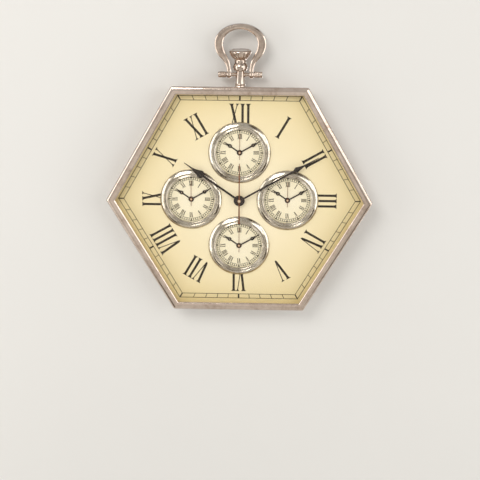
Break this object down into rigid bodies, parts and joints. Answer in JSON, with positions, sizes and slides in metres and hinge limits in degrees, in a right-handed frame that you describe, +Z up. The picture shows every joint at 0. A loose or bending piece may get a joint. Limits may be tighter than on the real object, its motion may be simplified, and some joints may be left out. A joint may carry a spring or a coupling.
{
  "type": "wall clock",
  "caption": "Hexagonal wall clock in pocket-watch form, with a crown and a swinging bail, one main dial and small dials set into it, each with its own hands.",
  "frame": {"origin": "Centre of the round part of the keyhole, in the plane that lies against the wall.", "axes": "+X to the right seen from the front, +Y into the wall, +Z up. The dial faces -Y."},
  "size_m": [0.384, 0.039, 0.4187],
  "materials": {
    "polished_nickel": "polished, nickel plated",
    "nickel_fittings": "polished, nickel plated",
    "ring_nickel": "polished, nickel plated",
    "back_paint": "matt black",
    "clear_glass": "clear",
    "small_lens": "clear",
    "soft_gasket": "matt",
    "soft_pad": "matt felt",
    "spacer_plastic": "matt",
    "dial_print": "satin cream with a brown print",
    "small_dial_print": "satin cream with a brown print",
    "zinc_steel": "zinc plated",
    "screw_steel": "nickel plated",
    "black_plastic": "matt",
    "white_plastic": "satin",
    "gear_plastic": "satin",
    "battery_wrap": "satin",
    "spring_steel": "nickel plated",
    "board_green": "satin",
    "coil_copper": "enamelled wire",
    "motor_iron": "bare",
    "magnet": "bare",
    "brass_nut": "turned",
    "can_metal": "satin",
    "hand_dark": "gloss dark brown",
    "second_copper": "lacquered copper brown"
  },
  "bodies": {
    "clock": {"case_bezel": "polished_nickel", "case_band": "polished_nickel", "back_panel": "back_paint", "front_glass": "clear_glass", "glass_gasket": "soft_gasket", "glass_spacer": "spacer_plastic", "main_dial": "dial_print", "hanger_plate": "zinc_steel", "hanger_rivets": "zinc_steel", "wall_pads": "soft_pad", "back_screws": "screw_steel", "bezel_screws": "screw_steel", "neck": "nickel_fittings", "neck_nut": "screw_steel", "crown": "nickel_fittings", "bail_pin": "nickel_fittings", "pin_knobs": "nickel_fittings", "movement_case": "black_plastic", "movement_cover": "black_plastic", "train_bridge": "white_plastic", "battery": "battery_wrap", "battery_contacts": "spring_steel", "circuit_board": "board_green", "coil": "coil_copper", "stator": "motor_iron", "dial_nut": "brass_nut", "rubber_washer": "soft_gasket", "top_bezel": "ring_nickel", "right_bezel": "ring_nickel", "bottom_bezel": "ring_nickel", "left_bezel": "ring_nickel", "small_cans": "can_metal", "small_movements": "white_plastic", "small_dials": "small_dial_print", "small_lenses": "small_lens"},
    "bail": {"bail": "nickel_fittings"},
    "second": {"second_wheel": "gear_plastic", "second_hand": "second_copper"},
    "rotor": {"rotor": "magnet"},
    "intermediate": {"intermediate_wheel": "gear_plastic"},
    "third": {"third_wheel": "gear_plastic"},
    "minute": {"centre_wheel": "gear_plastic", "minute_hand": "hand_dark"},
    "motion": {"minute_wheel": "gear_plastic", "setting_knob": "white_plastic"},
    "hour": {"hour_wheel": "gear_plastic", "hour_hand": "hand_dark"},
    "top_second": {"top_second_hand": "second_copper"},
    "top_minute": {"top_minute_hand": "hand_dark"},
    "top_hour": {"top_hour_hand": "hand_dark"},
    "right_second": {"right_second_hand": "second_copper"},
    "right_minute": {"right_minute_hand": "hand_dark"},
    "right_hour": {"right_hour_hand": "hand_dark"},
    "bottom_second": {"bottom_second_hand": "second_copper"},
    "bottom_minute": {"bottom_minute_hand": "hand_dark"},
    "bottom_hour": {"bottom_hour_hand": "hand_dark"},
    "left_second": {"left_second_hand": "second_copper"},
    "left_minute": {"left_minute_hand": "hand_dark"},
    "left_hour": {"left_hour_hand": "hand_dark"}
  },
  "joints": [
    {"name": "bail_swing", "type": "hinge", "parent": "clock", "child": "bail", "pos_m": [0, -0.0165, 0.053], "axis": [1, 0, 0], "range_deg": [-120, 110]},
    {"name": "minute_spin", "type": "hinge", "parent": "clock", "child": "minute", "pos_m": [0, 0, -0.128], "axis": [0, 1, 0], "continuous": true},
    {"name": "second_spin", "type": "hinge", "parent": "clock", "child": "second", "pos_m": [0, 0, -0.128], "axis": [0, 1, 0], "continuous": true},
    {"name": "rotor_spin", "type": "hinge", "parent": "clock", "child": "rotor", "pos_m": [0, 0, -0.1134], "axis": [0, 1, 0], "continuous": true},
    {"name": "intermediate_spin", "type": "hinge", "parent": "clock", "child": "intermediate", "pos_m": [0, 0, -0.12], "axis": [0, 1, 0], "continuous": true},
    {"name": "third_spin", "type": "hinge", "parent": "clock", "child": "third", "pos_m": [-0.01, 0, -0.128], "axis": [0, 1, 0], "continuous": true},
    {"name": "motion_spin", "type": "hinge", "parent": "clock", "child": "motion", "pos_m": [0.00804, 0, -0.12125], "axis": [0, 1, 0], "continuous": true},
    {"name": "hour_spin", "type": "hinge", "parent": "clock", "child": "hour", "pos_m": [0, 0, -0.128], "axis": [0, 1, 0], "continuous": true},
    {"name": "top_minute_spin", "type": "hinge", "parent": "clock", "child": "top_minute", "pos_m": [0, 0, -0.058], "axis": [0, 1, 0], "continuous": true},
    {"name": "top_second_spin", "type": "hinge", "parent": "clock", "child": "top_second", "pos_m": [0, 0, -0.058], "axis": [0, 1, 0], "continuous": true},
    {"name": "top_hour_spin", "type": "hinge", "parent": "clock", "child": "top_hour", "pos_m": [0, 0, -0.058], "axis": [0, 1, 0], "continuous": true},
    {"name": "right_minute_spin", "type": "hinge", "parent": "clock", "child": "right_minute", "pos_m": [0.07, 0, -0.128], "axis": [0, 1, 0], "continuous": true},
    {"name": "right_second_spin", "type": "hinge", "parent": "clock", "child": "right_second", "pos_m": [0.07, 0, -0.128], "axis": [0, 1, 0], "continuous": true},
    {"name": "right_hour_spin", "type": "hinge", "parent": "clock", "child": "right_hour", "pos_m": [0.07, 0, -0.128], "axis": [0, 1, 0], "continuous": true},
    {"name": "bottom_minute_spin", "type": "hinge", "parent": "clock", "child": "bottom_minute", "pos_m": [0, 0, -0.198], "axis": [0, 1, 0], "continuous": true},
    {"name": "bottom_second_spin", "type": "hinge", "parent": "clock", "child": "bottom_second", "pos_m": [0, 0, -0.198], "axis": [0, 1, 0], "continuous": true},
    {"name": "bottom_hour_spin", "type": "hinge", "parent": "clock", "child": "bottom_hour", "pos_m": [0, 0, -0.198], "axis": [0, 1, 0], "continuous": true},
    {"name": "left_minute_spin", "type": "hinge", "parent": "clock", "child": "left_minute", "pos_m": [-0.07, 0, -0.128], "axis": [0, 1, 0], "continuous": true},
    {"name": "left_second_spin", "type": "hinge", "parent": "clock", "child": "left_second", "pos_m": [-0.07, 0, -0.128], "axis": [0, 1, 0], "continuous": true},
    {"name": "left_hour_spin", "type": "hinge", "parent": "clock", "child": "left_hour", "pos_m": [-0.07, 0, -0.128], "axis": [0, 1, 0], "continuous": true}
  ],
  "couplings": [
    {"joint": "second_spin", "follows": "minute_spin", "ratio": 60},
    {"joint": "rotor_spin", "follows": "minute_spin", "ratio": 1800},
    {"joint": "intermediate_spin", "follows": "minute_spin", "ratio": -180},
    {"joint": "third_spin", "follows": "minute_spin", "ratio": -8},
    {"joint": "motion_spin", "follows": "minute_spin", "ratio": -0.33333},
    {"joint": "hour_spin", "follows": "minute_spin", "ratio": 0.083333},
    {"joint": "top_second_spin", "follows": "top_minute_spin", "ratio": 60},
    {"joint": "top_hour_spin", "follows": "top_minute_spin", "ratio": 0.083333},
    {"joint": "right_second_spin", "follows": "right_minute_spin", "ratio": 60},
    {"joint": "right_hour_spin", "follows": "right_minute_spin", "ratio": 0.083333},
    {"joint": "bottom_second_spin", "follows": "bottom_minute_spin", "ratio": 60},
    {"joint": "bottom_hour_spin", "follows": "bottom_minute_spin", "ratio": 0.083333},
    {"joint": "left_second_spin", "follows": "left_minute_spin", "ratio": 60},
    {"joint": "left_hour_spin", "follows": "left_minute_spin", "ratio": 0.083333}
  ]
}
